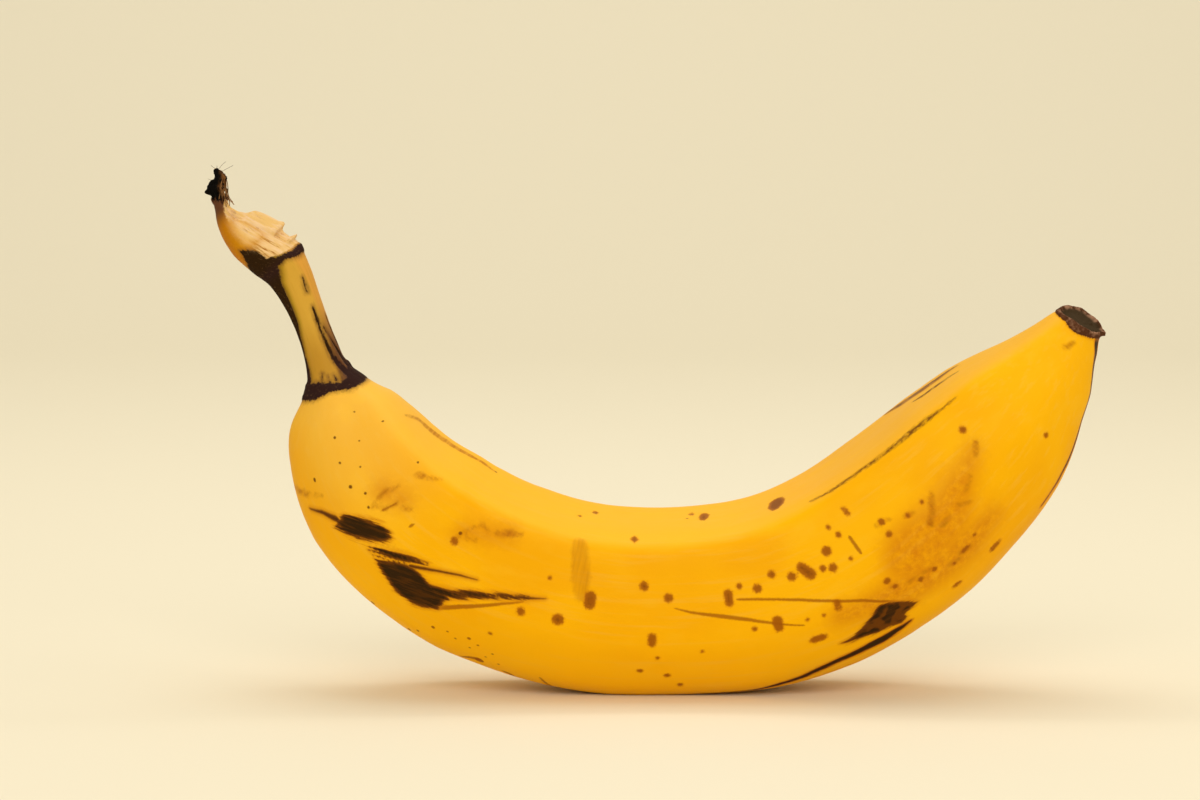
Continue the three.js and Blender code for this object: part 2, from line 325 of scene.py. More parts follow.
def markGap(paths, closed=False):
    # signed mm from every skin point to the edge of these marks, negative inside them
    best = np.full(ringGrid.shape, outsideGap)
    for path in paths:
        rows, flat, across = flatPath(path)
        gap, crossings = np.full(ringGrid.shape, farGap), np.zeros(ringGrid.shape, int)
        for one in range(len(rows) if closed else max(1, len(rows) - 1)):
            two = (one + 1) % len(rows)
            start, step = flat[one], flat[two] - flat[one]
            ahead, aside = ringGrid - start[0], across - start[1]
            share = np.clip((ahead * step[0] + aside * step[1]) / (step @ step + tiny), 0, 1)
            width = rows[one, 2] + (rows[two, 2] - rows[one, 2]) * share
            gap = np.minimum(gap, np.hypot(ahead - step[0] * share, aside - step[1] * share) - width)
            if closed:
                rise = step[1] if abs(step[1]) > tiny else tiny
                spans = (start[1] > across) != (flat[two][1] > across)
                crossings += spans & (ringGrid < start[0] + step[0] * aside / rise)
        if closed:
            gap = np.where(crossings % 2 == 1, -gap, gap)
        best = np.minimum(best, gap)
    return best


def lineField(paths):
    # for thin lines, at every skin point: signed mm across the nearest line, its half width, mm to it
    nearest = np.full(ringGrid.shape, farGap)
    offset, width = np.zeros(ringGrid.shape), np.zeros(ringGrid.shape)
    for path in paths:
        rows, flat, across = flatPath(path)
        for one in range(len(rows) - 1):
            start, step = flat[one], flat[one + 1] - flat[one]
            size = math.hypot(*step)
            aside, ahead = across - start[1], ringGrid - start[0]
            share = (ahead * step[0] + aside * step[1]) / size**2
            past = np.maximum(0, -share if one == 0 else 0)
            past = np.maximum(past, share - 1 if one == len(rows) - 2 else 0) * size
            part = np.clip(share, 0, 1)
            distance = np.hypot(ahead - step[0] * part, aside - step[1] * part)
            closer = distance < nearest
            nearest = np.where(closer, distance, nearest)
            offset = np.where(closer, (aside * step[0] - ahead * step[1]) / size, offset)
            narrowing = (rows[one + 1, 2] - rows[one, 2]) * part - past
            width = np.where(closer, rows[one, 2] + narrowing, width)
    return np.stack([offset, width, nearest], 2)


def readRows(rows, at, period=None):
    # the second value of these rows, between the places that their first values give
    firsts, seconds = np.array(rows, float).T
    return np.interp(at, firsts, seconds, period=period)


def bandGap(upper, lower):
    # signed mm to a band round the fruit, whose edges are (degrees, mm along) rows
    top, bottom = readRows(upper, angleGrid, 360), readRows(lower, angleGrid, 360)
    return np.maximum(top - ringGrid, ringGrid - bottom)


def lumps(places, size, seed):
    # smooth noise from -1 to 1 in lumps of about this size in mm
    scaled = np.asarray(places).reshape(-1, 3) / size + seed * 7.31
    values = np.array([noise.noise(Vector(p)) for p in scaled])
    return values.reshape(np.asarray(places).shape[:-1])


def ramp(value, start, end):
    part = np.clip((value - start) / (end - start), 0, 1)
    return part * part * (3 - 2 * part)


angleRadians = np.radians(angleGrid)
# places on the skin as if the fruit were straight
straight = np.stack([ringGrid, halfGrid * np.cos(angleRadians), halfGrid * np.sin(angleRadians)], 2)

bruiseGap = markGap(marks["bruises"], closed=True)
bruiseGap = np.minimum(bruiseGap, markGap(marks["bruiseBlades"]))
ridgeAndShadowGap = markGap(marks["ridgeAndShadowStrokes"])
lineGroups = {"bruiseLines": "bruiseStrokes", "ridgeAndShadowLines": "ridgeAndShadowStrokes", "browningLines": "browning",
              "scratchLines": "scratches"}
lineFields = {name: lineField(marks[group]) for name, group in lineGroups.items()}
stainGap = markGap(marks["stains"])
broadGap = markGap(marks["broadStains"])
spotGap = np.minimum(markGap(marks["bigSpots"]), markGap(marks["facetSpots"], closed=True))

# edges on the stem and the cap: collar and ring as (degrees round, mm along), and outlines and strokes
# like the marks above for the shaded outer side painted dark as painted shade, the dark streaks and the torn
# flesh
stemEdges = {
    "collarTop": ((110, 46.6), (150, 46.3), (180, 46), (-150, 45.5), (-90, 44.5), (-26, 44), (0, 44.4),
                  (30, 45.6), (50, 47), (66, 47.7), (90, 47.2)),
    "collarBottom": ((-90, 48.7), (-30, 48.5), (0, 48.4), (30, 48.8), (60, 49.3), (90, 48.8), (120, 49.5),
                     (170, 49)),
    "ringTop": ((-90, 21.6), (-14, 22), (42, 22.4), (77, 21.8), (104, 20.9), (180, 20.5)),
    "ringBottom": ((-90, 23.2), (-14, 23.5), (45, 23.6), (72, 23), (104, 23.2), (180, 23)),
    # outline of the stem's outer ridge, which lies in shade, painted near black as painted shade
    "paintedShadeSide": [(15.6, 130), (17.3, 109), (19.1, 98), (21, 90), (22.3, 83), (22.9, 92), (26.1, 113),
                 (30.3, 123), (34.3, 130), (37.5, 145), (41.3, 149), (44.2, 144), (47, 138), (47, 205),
                 (38, 215), (28, 222), (22, 222), (20.2, 190), (19.6, 165), (18.3, 145)],
    "rightStreak": [[(32.8, 60, 0.08), (35, 62, 0.25), (37.3, 62, 0.25), (40.4, 60, 0.28), (43, 56, 0.5),
                     (46.5, 40, 1.0)],
                    [(37, 50, 0.1), (39, 40, 0.12), (41.5, 25, 0.4), (44.6, 5, 1.2)],
                    [(35, 2, 0.1), (39, -6, 0.3), (43, -14, 0.7)],
                    [(27.2, 56.5, 0.06), (28.5, 58.5, 0.17), (29.8, 60, 0.06)],
                    [(45.2, 100, 0.04), (46.9, 104, 0.16)], [(46, 88, 0.03), (47.4, 86, 0.14)],
                    [(46.2, 74, 0.03), (47.6, 72, 0.14)]],
    "torn": [(6.3, 30), (7.3, 75), (9.6, 100), (13, 107), (15.6, 107), (17.3, 104), (20.6, 101), (21.6, 76),
             (22, 38), (21.8, -6), (21.8, -32), (20, -46), (16, -52), (12, -50), (9, -40), (7, -10)],
    "capEdge": ((22, 228.7), (52, 228.4), (60, 227.9), (76, 227.6), (90, 227.8), (101, 228.1), (137, 228.3),
                (180, 228.2), (-90, 228.3), (-20, 228.7)),
    "knob": (5.5, 0.9, 60),  # mm along to its end, how much that wavers, degrees round to its longest side
}
collarGap = bandGap(stemEdges["collarTop"], stemEdges["collarBottom"])
ringGap = bandGap(stemEdges["ringTop"], stemEdges["ringBottom"])
streakGap = markGap(stemEdges["rightStreak"])
paintedShadeSideGap = markGap([stemEdges["paintedShadeSide"]], closed=True)
tornGap = markGap([stemEdges["torn"]], closed=True)
knobEnd, knobWaver, knobFacing = stemEdges["knob"]
knobGap = ringGrid - (knobEnd + knobWaver * np.cos(angleRadians - math.radians(knobFacing)))
# the charred collar, ring and streaks, and the painted shade on the stem's outer side
charAndShadeGap = np.minimum.reduce([collarGap, ringGap, streakGap, paintedShadeSideGap])
capGap = readRows(stemEdges["capEdge"], angleGrid, 360) - ringGrid
# the flat facet on the inner side, between its two ridges: (mm along, degrees round)
facetEdges = {"front": ((0, 50), (90, 54), (135, 53), (165, 46), (200, 45), (230, 42)),
              "rear": ((0, -26), (90, -28), (165, -26), (230, -24))}
frontEdge, rearEdge = (readRows(rows, ringGrid) for rows in facetEdges.values())
facetGap = np.radians(np.maximum(angleGrid - frontEdge, rearEdge - angleGrid)) * halfGrid
facetGap = np.where(angleGrid > 180, farGap, facetGap)
print("marks measured out on the skin")

# how the skin rises and sinks, in mm
surface = {
    "dents": 0.12,  # broad unevenness of the peel
    "smallDents": 0.4,  # as a share of the broad ones
    "dentsOnStem": 0.3,  # as a share of those on the fruit
    "pores": 0.02,
    "bruiseSink": 0.22,
    "spotSink": 0.07,
    "ridgeSink": 0.1,
    "streakSink": 0.18,
    "collarSwell": 0.28,
    "collarCrust": 0.16,
    "ringSwell": 0.3,
    "ringCrust": 0.12,
    "stemCreases": 0.13,
    "tornFibres": 0.08,
    "tearSlope": 0.62,  # how steeply the torn fibres run down to the right
    "knobLumps": 0.5,
    "knobBite": 1.0,
    "knobSpike": 0.75,
    "capSwell": 0.12,
    "capCrust": 0.16,
    "capWave": 0.25,
    "capTuck": 0.65,  # how far the outer side draws in before the cap
    "capNub": 1.0,
    "capLean": 0.75,
    # how much further along the cap's rim stands: (degrees round, mm)
    "capRise": ((-110, 0.4), (-80, 0.55), (-50, 0.05), (-20, -0.85), (0, -0.9), (25, -0.6), (60, 0),
                (180, 0.05)),
    "capFlare": 0.1,
    # small corrections to the inner and outer curves: (mm along, lift in mm)
    "innerTrim": ((46, 0), (49, 1.1), (52, 1.75), (54, 1.65), (58, 1.2), (62, 0.45), (66, -0.1), (70, -0.25),
                  (76, -0.1), (82, 0), (86, -0.2), (92, -0.15), (100, 0.2), (110, 0), (160, 0.1), (175, 0.3),
                  (187, 0.55), (195, 0.75), (205, 0.65), (212, 0.3), (218, 0), (225, 0.1)),
    "outerTrim": ((5, -0.3), (8, 0), (11, 0.25), (15, 0.3), (19, -0.1), (23, -0.3), (50, -0.3), (54, -0.2),
                  (58, -0.4), (63, 0), (69, 0.4), (76, 0.2), (85, 0.2), (93, 0.4), (99, 0.1), (160, 0),
                  (170, -0.3), (180, -0.1), (190, -0.4), (196, -0.2), (203, 0), (214, -0.4), (219, 0),
                  (224, -0.2)),
    # where the torn face hollows in below the knob: (mm along, lift in mm)
    "neck": ((5, 0), (7, -0.5), (8.5, -1.0), (10, -1.2), (11.4, -1.0), (12.6, -0.1), (13.5, 0)),
    # how the torn edge steps up and down: (mm along, lift in mm)
    "tornEdge": ((10, 0), (11.8, 0), (12.2, 0.3), (14.4, 0.4), (17, 0.45), (17.9, 0.85), (18.3, 0.6),
                 (18.5, -0.5), (19.1, -0.8), (20.3, -0.75), (20.6, 0.1), (20.85, 0.9), (21.1, -0.2),
                 (22, 0)),
}


def roundWindow(centre, start, end):
    # 1 on the part of the skin round this angle, fading to 0 from start to end degrees away from it
    return 1 - ramp(np.abs(wrapped(angleGrid - centre)), start, end)


def patchWindow(length, around, reach, turn, fade):
    # 1 in the middle of a patch, 0 outside it; it reaches this many mm along and degrees round
    away = np.hypot((ringGrid - length) / reach, wrapped(angleGrid - around) / turn)
    return 1 - ramp(away, *fade)


lift = surface["dents"] * lumps(skin, 17, 1) + surface["smallDents"] * surface["dents"] * lumps(skin, 6, 2)
lift *= surface["dentsOnStem"] + (1 - surface["dentsOnStem"]) * ramp(ringGrid, 46, 60)
lift -= surface["bruiseSink"] * ramp(-bruiseGap, -0.5, 1.1)
lift -= surface["spotSink"] * ramp(-spotGap, -0.3, 0.5)
lift -= surface["ridgeSink"] * ramp(-ridgeAndShadowGap, -0.3, 0.4)
lift += readRows(surface["innerTrim"], ringGrid) * roundWindow(0, 35, 80)
lift += readRows(surface["outerTrim"], ringGrid) * roundWindow(175, 40, 90)

# the stem, its collar and its ring
crust = lumps(skin, 0.9, 3)
lift += (surface["collarSwell"] + surface["collarCrust"] * crust) * ramp(-collarGap, -0.35, 0.5)
ringFront = ramp(angleGrid, -140, -90) * (1 - ramp(angleGrid, 95, 125))
lift += (surface["ringSwell"] + surface["ringCrust"] * crust) * ramp(-ringGap, -0.3, 0.4) * ringFront
lift += readRows(surface["neck"], ringGrid) * ramp(angleGrid, -90, -50) * (1 - ramp(angleGrid, 50, 100))
onStem = ramp(ringGrid, 23.5, 25) * (1 - ramp(ringGrid, 44, 47))
lengthwise = straight * np.array([0.07, 0.75, 0.75])
lift += surface["stemCreases"] * onStem * lumps(lengthwise, 1, 4)
lift -= surface["streakSink"] * onStem * ramp(-streakGap, -0.2, 0.25)

# the torn flesh and its edge
tornAmount = ramp(-tornGap, -0.2, 0.6)
skinX, skinY, skinZ = (skin[..., axis] for axis in range(3))
downRight = np.stack([(skinX - surface["tearSlope"] * skinZ) * 0.1,
                      (skinZ + surface["tearSlope"] * skinX) * 0.75, skinY * 0.4], 2)
tornFolds = 1 - 2 * np.abs(lumps(downRight, 1, 5)) - 0.8 * np.abs(lumps(downRight, 0.45, 6))
lift += surface["tornFibres"] * tornAmount * tornFolds
edgeWindow = ramp(angleGrid, -62, -38) * (1 - ramp(angleGrid, 12, 34))
lift += readRows(surface["tornEdge"], ringGrid) * edgeWindow

# the knob, with a bite out of it and a spike below that
onKnob = 1 - ramp(ringGrid, 5.2, 7.6)
lift += surface["knobLumps"] * onKnob * (1.2 * lumps(skin, 1.5, 7) + 0.65 * lumps(skin, 0.6, 8) - 0.5)
lift -= surface["knobBite"] * patchWindow(1.7, 160, 0.95, 48, (0.2, 1.1))
lift += surface["knobSpike"] * patchWindow(4.2, 165, 0.42, 17, (0, 1))

# the cap, with a nub on its outer side
atCap = ramp(-capGap, -0.1, 0.5)
lift += atCap * (surface["capSwell"] + surface["capCrust"] * crust)
lift += surface["capWave"] * atCap * lumps(skin, 4, 9)
lift -= surface["capTuck"] * ramp(ringGrid, 225.5, 229) * roundWindow(165, 25, 70)
lift += surface["capNub"] * patchWindow(229.2, 182, 0.75, 15, (0.1, 1))
lift += surface["capFlare"] * ramp(ringGrid, 227.4, 229.2) * roundWindow(0, 15, 60)
lift += surface["pores"] * lumps(skin, 1.1, 10) * (1 - tornAmount)

skinPoints = skinPlace(ringGrid, angleGrid, lift=lift.ravel())[0] + shift
# the cap faces a little to the front
rimAhead = readRows(surface["capRise"], angles, 360)
rimLean = surface["capLean"] * np.sin(np.radians(angles))
ahead = rimAhead * ramp(ringGrid, 226.5, fruitLength) - rimLean * ramp(ringGrid, 223, fruitLength)
skinPoints = skinPoints + tangentGrid * ahead[..., None]

# the dry cap is a shallow dish behind a raised rim: rings inwards, as shares of the cap's radius, and how
# deep each lies in mm
cap = {
    "shares": (0.97, 0.94, 0.91, 0.88, 0.85, 0.82, 0.79, 0.76, 0.72, 0.68, 0.63, 0.57, 0.5, 0.42, 0.34, 0.26,
               0.18, 0.1),
    "depths": (-0.16, -0.25, -0.29, -0.25, -0.12, 0.05, 0.22, 0.38, 0.5, 0.58, 0.63, 0.66, 0.66, 0.64, 0.62,
               0.62, 0.64, 0.66),
    "wobble": 0.14,
    "tipRise": 0.15,  # how far the charred tip's last point stands above its first ring
}
capRings = []
for share, depth in zip(cap["shares"], cap["depths"]):
    edge = np.full(len(angles), fruitLength)
    ringPlaces, _, ringTangent = skinPlace(edge, angles, share=share, lift=lift[-1] * share**3)
    wobble = cap["wobble"] * (lumps(ringPlaces, 1.3, 11) + 0.5 * lumps(ringPlaces, 0.5, 12))
    lean = (rimLean - rimAhead) * share
    capRings.append(ringPlaces - ringTangent * (depth + wobble + lean)[:, None] + shift)
capCentre = np.mean(capRings[-1], axis=0)
tipCentre = skinPlace(0.0, 0.0, share=0.0)[0].reshape(3) + shift + np.array([0, 0, cap["tipRise"]])

sides = fruitShape["sides"]
places = np.vstack([skinPoints.reshape(-1, 3)] + capRings + [capCentre[None, :], tipCentre[None, :]])
places[:, 2] = np.maximum(places[:, 2], fruitLow.z / mm)  # the belly lies flat on the table
ringTotal = len(rings) + len(capRings)
quads = []
turn = np.arange(sides)
for ring in range(ringTotal - 1):
    here, there = ring * sides, (ring + 1) * sides
    following = (turn + 1) % sides
    quads.append(np.stack([here + turn, there + turn, there + following, here + following], 1))
quads = np.vstack(quads)
capIndex, tipIndex = ringTotal * sides, ringTotal * sides + 1
innermost = (ringTotal - 1) * sides
fans = [(innermost + one, capIndex, innermost + (one + 1) % sides) for one in range(sides)]
fans += [(one, (one + 1) % sides, tipIndex) for one in range(sides)]

mesh = bpy.data.meshes.new("banana")
mesh.from_pydata((places * mm).tolist(), [], quads.tolist() + fans)
mesh.validate()
mesh.update()
mesh.polygons.foreach_set("use_smooth", [True] * len(mesh.polygons))
banana = bpy.data.objects.new("bananaPeel", mesh)
bpy.context.scene.collection.objects.link(banana)

dishPoints = len(capRings) * sides + 2  # the dish's points and the two poles


def skinValues(values, capValue):
    # spreads one value per skin point over the whole mesh, with one value for the dish and the two poles
    return np.concatenate([np.asarray(values).ravel(), np.full(dishPoints, capValue)])


def giveVectors(name, values):
    attribute = mesh.attributes.new(name, "FLOAT_VECTOR", "POINT")
    attribute.data.foreach_set("vector", values.astype(np.float32).ravel())


skinGaps = {"bruiseGap": bruiseGap, "stainGap": stainGap, "broadGap": broadGap, "spotGap": spotGap,
            "charAndShadeGap": charAndShadeGap, "knobGap": knobGap, "tornGap": tornGap, "paintedShadeSideGap": paintedShadeSideGap,
            "facetGap": facetGap}
spread = {name: skinValues(values, outsideGap) for name, values in skinGaps.items()}
spread["capGap"] = skinValues(capGap, -2)
spread["dishDepth"] = np.concatenate([np.zeros(ringGrid.size),
                                      np.repeat(1 - np.array(cap["shares"]), sides), [1, 0]])
for name, values in spread.items():
    mesh.attributes.new(name, "FLOAT", "POINT").data.foreach_set("value", values.astype(np.float32))
for name, field in lineFields.items():
    beyond = np.tile([outsideGap, 0.0, outsideGap], (dishPoints, 1))
    giveVectors(name, np.vstack([field.reshape(-1, 3), beyond]))

# the skin laid straight: mm along it, towards its inner side and towards the front
capStraight = np.array([[fruitLength, 0, 0]] * dishPoints)
wayOut = np.stack([np.cos(np.radians(angles)), np.sin(np.radians(angles))], 1)
for row, share in enumerate(cap["shares"]):
    capStraight[row * sides:(row + 1) * sides, 1:] = wayOut * stationRows[-1, 3] * share
giveVectors("straight", np.vstack([straight.reshape(-1, 3), capStraight]))
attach(banana, "root")
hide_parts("banana")
print("peel mesh:", len(mesh.vertices), "points,", len(quads) * 2 + len(fans), "triangles")


class Wire:
    # a node's output, which sums and other nodes can be built on
    def __init__(self, tree, socket=None):
        self.tree, self.socket = tree, socket

    def node(self, kind, settings=None, inputs=None, out=0):
        made = self.tree.nodes.new(kind)
        for name, value in (settings or {}).items():
            setattr(made, name, value)
        for name, value in (inputs or {}).items():
            if isinstance(value, Wire):
                self.tree.links.new(value.socket, made.inputs[name])
            else:
                made.inputs[name].default_value = value
        return Wire(self.tree, made.outputs[out])

    def math(self, operation, *values):
        return self.node("ShaderNodeMath", {"operation": operation}, dict(enumerate(values)))

    def __add__(self, other):
        return self.math("ADD", self, other)

    def __radd__(self, other):
        return self.math("ADD", other, self)

    def __sub__(self, other):
        return self.math("SUBTRACT", self, other)

    def __rsub__(self, other):
        return self.math("SUBTRACT", other, self)

    def __mul__(self, other):
        return self.math("MULTIPLY", self, other)

    def __rmul__(self, other):
        return self.math("MULTIPLY", other, self)

    def __truediv__(self, other):
        return self.math("DIVIDE", self, other)

    def least(self, other):
        return self.math("MINIMUM", self, other)

    def most(self, other):
        return self.math("MAXIMUM", self, other)

    def vector(self, operation, *values, out=0):
        return self.node("ShaderNodeVectorMath", {"operation": operation},
                         dict(enumerate((self,) + values)), out)

    def part(self, axis):
        return self.node("ShaderNodeSeparateXYZ", {}, {0: self}, axis)

    def grain(self, scale, detail=2.0, roughness=0.55, distortion=0.0):
        # noise from about 0.2 to 0.8, finer where the scale (three numbers, per mm) is larger
        scaled = self.vector("MULTIPLY", scale)
        return self.node("ShaderNodeTexNoise", {}, {"Vector": scaled, "Scale": 1.0, "Detail": detail,
                                                    "Roughness": roughness, "Distortion": distortion})

    def inside(self, soft):
        # 1 well inside a mark, 0 well outside it, from its signed gap
        return self.between(soft / 2, -soft / 2)

    def between(self, start, end, low=0.0, high=1.0):
        return self.node("ShaderNodeMapRange", {"interpolation_type": "SMOOTHSTEP"},
                         {"Value": self, "From Min": start, "From Max": end, "To Min": low, "To Max": high})

    def paint(self, under, over):
        # lays one colour over another by this amount
        return self.node("ShaderNodeMix", {"data_type": "RGBA", "clamp_factor": True},
                         {0: self, 6: under, 7: over}, 2)


def tone(red, green, blue):
    # a colour as it looks on screen, 0 to 255, in the linear values that shaders use
    parts = [value / 255 for value in (red, green, blue)]
    return tuple(v / 12.92 if v <= 0.04045 else ((v + 0.055) / 1.055) ** 2.4 for v in parts) + (1.0,)


def newMaterial(name):
    material = bpy.data.materials.new(name)
    material.use_nodes = True
    material.node_tree.nodes.clear()
    return material, Wire(material.node_tree)


def finishMaterial(wire, colour, roughness, normal, fixed):
    inputs = {"Base Color": colour, "Roughness": roughness}
    if normal is not None:
        inputs["Normal"] = normal
    inputs.update(fixed)
    shader = wire.node("ShaderNodeBsdfPrincipled", {}, inputs)
    output = wire.tree.nodes.new("ShaderNodeOutputMaterial")
    wire.tree.links.new(shader.socket, output.inputs["Surface"])


look = {
    "yellow": tone(246, 180, 2),
    "deepYellow": tone(236, 160, 0),
    "paleYellow": tone(246, 190, 42),
    "duskyYellow": tone(237, 187, 80),
    # a brighter yellow for the belly, painted light bounced up from the table
    "bounceLitYellow": tone(255, 190, 6),
    # paler yellows for the upward inner facet are painted sheen from the top light
    "topSheenYellow": tone(250, 184, 40),
    "topSheenDull": tone(234, 174, 50),
    "orangeBrown": tone(205, 122, 8),
    "spotBrown": tone(156, 86, 4),
    "spotDark": tone(96, 46, 4),
    "stainBrown": tone(172, 98, 4),
    "bruiseHalo": tone(206, 130, 10),
    "bruiseBrown": tone(112, 62, 8),
    "bruiseCore": tone(50, 31, 7),
    "ridgeBrown": tone(120, 74, 16),
    "stemMustard": tone(208, 160, 58),
    "stemOlive": tone(160, 126, 20),
    "stemTan": tone(216, 156, 62),
    "stemLow": tone(176, 124, 34),
    "stemPurple": tone(96, 58, 34),
    # dark tones for the charred collar and ring, also laid on the stem's outer side as painted shade
    "charAndShadeOlive": tone(46, 28, 8),
    "charAndShadePurple": tone(48, 28, 24),
    "charCrack": tone(128, 96, 62),
    "knobBlack": tone(10, 8, 6),
    "knobBark": tone(128, 84, 44),
    "tipBrown": tone(188, 118, 4),
    "tipYellow": tone(206, 140, 14),
    "tornPeach": tone(224, 182, 112),
    "tornPale": tone(232, 196, 150),
    "tornBrown": tone(158, 98, 34),
    "capBand": tone(80, 46, 26),
    # pale tan painted highlight on the cap's rim
    "capRimHighlight": tone(168, 126, 98),
    "capDish": tone(64, 50, 32),
    "roughness": 0.46,
    "specular": 0.05,
}
peelMaterial, wire = newMaterial("banana peel")
straightMm = wire.node("ShaderNodeAttribute", {"attribute_name": "straight"}, out=1)
placeMm = wire.node("ShaderNodeTexCoord", {}, {}, 3).vector("MULTIPLY", (1 / mm,) * 3)


def gapOf(name):
    # one of the mesh's own values, mostly a signed gap in mm
    return wire.node("ShaderNodeAttribute", {"attribute_name": name}, out=2)


def leaning(angle):
    # places turned this far round the front-to-back axis, in radians
    return wire.node("ShaderNodeVectorRotate", {"rotation_type": "Y_AXIS"},
                     {"Vector": placeMm, "Angle": angle})


def skinSpot(length, around):
    # a place on the skin laid straight
    radius = float(halfWidth(length))
    return (length, radius * math.cos(math.radians(around)), radius * math.sin(math.radians(around)))


def dotsGap(dots):
    # signed mm to the edge of the nearest of these round dots
    gap = None
    for length, around, radius in dots:
        one = straightMm.vector("DISTANCE", skinSpot(length, around), out=1) - radius
        gap = one if gap is None else gap.least(one)
    return gap


def lineGap(name):
    # signed mm to the edge of the nearest thin line
    field = wire.node("ShaderNodeAttribute", {"attribute_name": name}, out=1)
    pastEnds = field.part(2) - 0.7  # so that a line ends round instead of running on
    return field.math("ABSOLUTE", field.part(0)).most(pastEnds) - field.part(1)


alongMm = straightMm.part(0)
innerMm = straightMm.part(1)
frontMm = straightMm.part(2)

# broad colour of the peel
broad = straightMm.grain((0.035, 0.06, 0.06), 2.0)
mottle = straightMm.grain((0.09, 0.22, 0.22), 3.0)
streaks = straightMm.grain((0.05, 0.9, 0.9), 3.0, 0.6)
fine = placeMm.grain((2.2, 2.2, 2.2), 3.0, 0.65)
colour = broad.between(0.35, 0.65, 0.0, 0.55).paint(look["yellow"], look["deepYellow"])
facet = gapOf("facetGap")
# the upward inner facet is painted paler as painted sheen from the top light, duller towards the cap end
topSheenAmount = (facet + (mottle - 0.5) * 2.0).inside(2.6)
topSheenTone = alongMm.between(135.0, 190.0).paint(look["topSheenYellow"], look["topSheenDull"])
colour = (topSheenAmount * 0.85).paint(colour, topSheenTone)
shoulder = alongMm.between(84.0, 50.0) * (0.5 + 0.5 * mottle)
colour = (shoulder * innerMm.between(-15.0, -3.0) * 0.8).paint(colour, look["duskyYellow"])
# the belly is painted brighter: painted bounce light from the table
bounceLitSide = innerMm.between(-7.0, -17.0) * alongMm.between(60.0, 80.0) * alongMm.between(165.0, 140.0)
colour = (bounceLitSide * 0.85).paint(colour, look["bounceLitYellow"])
colour = (alongMm.between(200.0, 226.0) * 0.1).paint(colour, look["paleYellow"])
colour = (streaks.between(0.5, 0.72) * 0.16).paint(colour, look["duskyYellow"])
colour = (mottle.between(0.52, 0.7) * 0.2).paint(colour, look["paleYellow"])

# stains and scuffs
ragged = (fine - 0.5) * 0.5
stainNoise = placeMm.grain((0.7, 0.7, 0.7), 4.0, 0.7)
broadStain = (gapOf("broadGap") + (stainNoise - 0.5) * 6.0).inside(5.0)
colour = (broadStain * stainNoise.between(0.2, 0.8, 0.2, 0.9)).paint(colour, look["orangeBrown"])
crossStreaks = straightMm.grain((1.1, 0.14, 0.14), 2.0, 0.5)
stain = (gapOf("stainGap") + (stainNoise - 0.5) * 1.5 + ragged * 0.6).inside(1.1)
# the upright smear is fainter than the other stains
onSmear = alongMm.between(107.0, 108.5) * alongMm.between(117.0, 115.5)
stain = stain * (1 - onSmear * 0.4)
colour = (stain * crossStreaks.between(0.2, 0.8, 0.4, 0.9)).paint(colour, look["stainBrown"])

# browning on the ridges, and a thin dark line along the bottom edge that is painted contact shadow over ridge
# browning
grainy = straightMm.grain((0.35, 2.4, 2.4), 3.0, 0.7)
patches = straightMm.grain((0.5, 0.9, 0.9), 3.0, 0.65)
browning = (lineGap("browningLines") + (grainy - 0.5) * 0.9 + (patches - 0.5) * 1.2).inside(0.6)
colour = (browning * patches.between(0.36, 0.58, 0.35, 1.0)).paint(colour, look["ridgeBrown"])
# ridge lines are brown, and along the bottom edge they are painted contact shadow
ridgeAndShadowLine = lineGap("ridgeAndShadowLines") + (grainy - 0.5) * 0.7
colour = (ridgeAndShadowLine - 0.35).inside(0.9).paint(colour, look["orangeBrown"])
colour = ridgeAndShadowLine.inside(0.3).paint(colour, look["bruiseBrown"])
colour = (ridgeAndShadowLine + 0.22).inside(0.4).paint(colour, look["bruiseCore"])

# spots and dots
spots = gapOf("spotGap").least(dotsGap(smallSpots)) + ragged * 1.4
colour = ((spots - 0.12).inside(0.55) * 0.6).paint(colour, look["orangeBrown"])
colour = ((spots + 0.1).inside(0.5) * 0.92).paint(colour, look["spotBrown"])
colour = ((spots + 0.75).inside(0.6) * 0.5).paint(colour, look["spotDark"])
dots = dotsGap(darkDots) + ragged * 0.6
dotTone = alongMm.between(84.0, 92.0).paint(look["spotDark"], look["spotBrown"])
colour = ((dots - 0.05).inside(0.25) * 0.9).paint(colour, dotTone)
scratch = lineGap("scratchLines") + (fine - 0.5) * 0.3 - 0.03
colour = (scratch.inside(0.4) * 0.8).paint(colour, look["spotBrown"])

# bruises, feathered along their length
feather, featherBack = (leaning(angle).grain((0.16, 0.3, 1.7), 3.0, 0.6) for angle in (-0.29, 0.49))
onRight = placeMm.part(0).between(-5.0, 5.0)
feather = feather * (1 - onRight) + featherBack * onRight
bruise = gapOf("bruiseGap") + (feather - 0.5) * alongMm.between(76.0, 80.0, 2.6, 1.5) + ragged * 0.5
bruise = bruise.least(lineGap("bruiseLines") + ragged * 0.3)
colour = ((bruise - 0.35).inside(1.1) * 0.8).paint(colour, look["bruiseHalo"])
colour = bruise.inside(0.45).paint(colour, look["bruiseBrown"])
core = (bruise + 0.4).inside(0.8) * feather.between(0.45, 0.65, 1.0, 0.7)
core = core * (1 - onRight * placeMm.grain((0.45, 0.45, 0.45), 1.0).between(0.42, 0.6) * 0.8)
colour = core.paint(colour, look["bruiseCore"])

# stem between the ring and the collar
stemSide = innerMm / 3.9
side = gapOf("paintedShadeSideGap")
